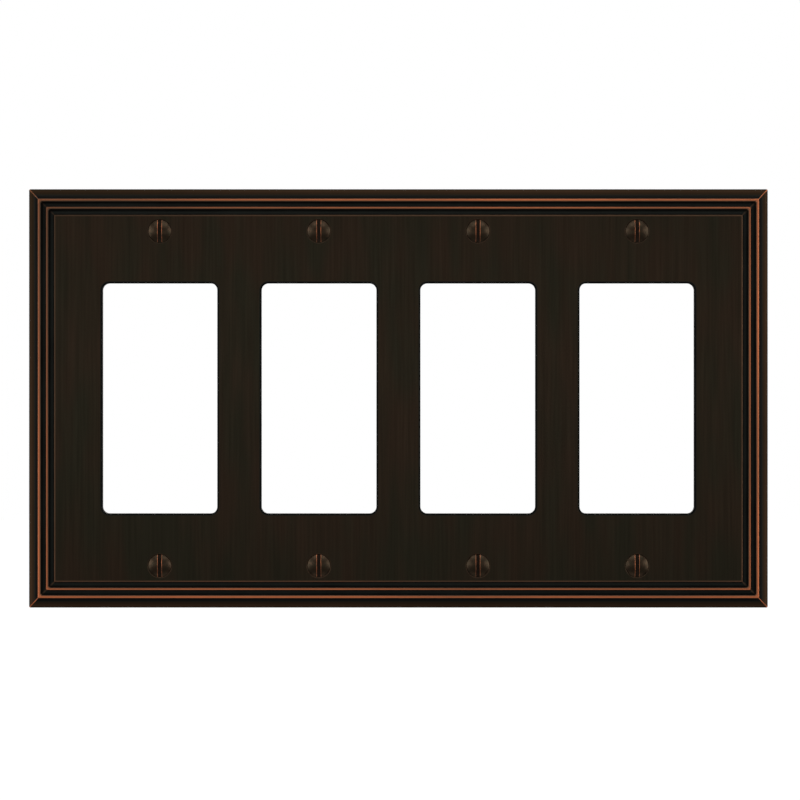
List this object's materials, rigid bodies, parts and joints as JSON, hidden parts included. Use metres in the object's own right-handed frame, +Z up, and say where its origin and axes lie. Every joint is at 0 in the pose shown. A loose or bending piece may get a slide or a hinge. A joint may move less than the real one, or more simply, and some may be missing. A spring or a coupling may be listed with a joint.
{
  "type": "wall plate",
  "caption": "Dark bronze rectangular wall plate with stepped border, decorator device openings and oval-head fixing screws.",
  "frame": {"origin": "centre of the plate's back plane, where its rim lies on the wall", "axes": "+X along the plate's width, +Z up the wall, +Y into the wall, so the face looks along -Y"},
  "size_m": [0.2144, 0.0201, 0.1216],
  "materials": {
    "plate_finish": "satin",
    "screw_finish": "satin"
  },
  "bodies": {
    "plate": {"face_plate": "plate_finish"},
    "screw_gang1_top": {"screw_gang1_top": "screw_finish"},
    "screw_gang1_bottom": {"screw_gang1_bottom": "screw_finish"},
    "screw_gang2_top": {"screw_gang2_top": "screw_finish"},
    "screw_gang2_bottom": {"screw_gang2_bottom": "screw_finish"},
    "screw_gang3_top": {"screw_gang3_top": "screw_finish"},
    "screw_gang3_bottom": {"screw_gang3_bottom": "screw_finish"},
    "screw_gang4_top": {"screw_gang4_top": "screw_finish"},
    "screw_gang4_bottom": {"screw_gang4_bottom": "screw_finish"}
  },
  "joints": [
    {"name": "screw_gang1_top_travel", "type": "slide", "parent": "plate", "child": "screw_gang1_top", "axis": [0, -1, 0], "range_m": [0, 0.016]},
    {"name": "screw_gang1_bottom_travel", "type": "slide", "parent": "plate", "child": "screw_gang1_bottom", "axis": [0, -1, 0], "range_m": [0, 0.016]},
    {"name": "screw_gang2_top_travel", "type": "slide", "parent": "plate", "child": "screw_gang2_top", "axis": [0, -1, 0], "range_m": [0, 0.016]},
    {"name": "screw_gang2_bottom_travel", "type": "slide", "parent": "plate", "child": "screw_gang2_bottom", "axis": [0, -1, 0], "range_m": [0, 0.016]},
    {"name": "screw_gang3_top_travel", "type": "slide", "parent": "plate", "child": "screw_gang3_top", "axis": [0, -1, 0], "range_m": [0, 0.016]},
    {"name": "screw_gang3_bottom_travel", "type": "slide", "parent": "plate", "child": "screw_gang3_bottom", "axis": [0, -1, 0], "range_m": [0, 0.016]},
    {"name": "screw_gang4_top_travel", "type": "slide", "parent": "plate", "child": "screw_gang4_top", "axis": [0, -1, 0], "range_m": [0, 0.016]},
    {"name": "screw_gang4_bottom_travel", "type": "slide", "parent": "plate", "child": "screw_gang4_bottom", "axis": [0, -1, 0], "range_m": [0, 0.016]}
  ]
}
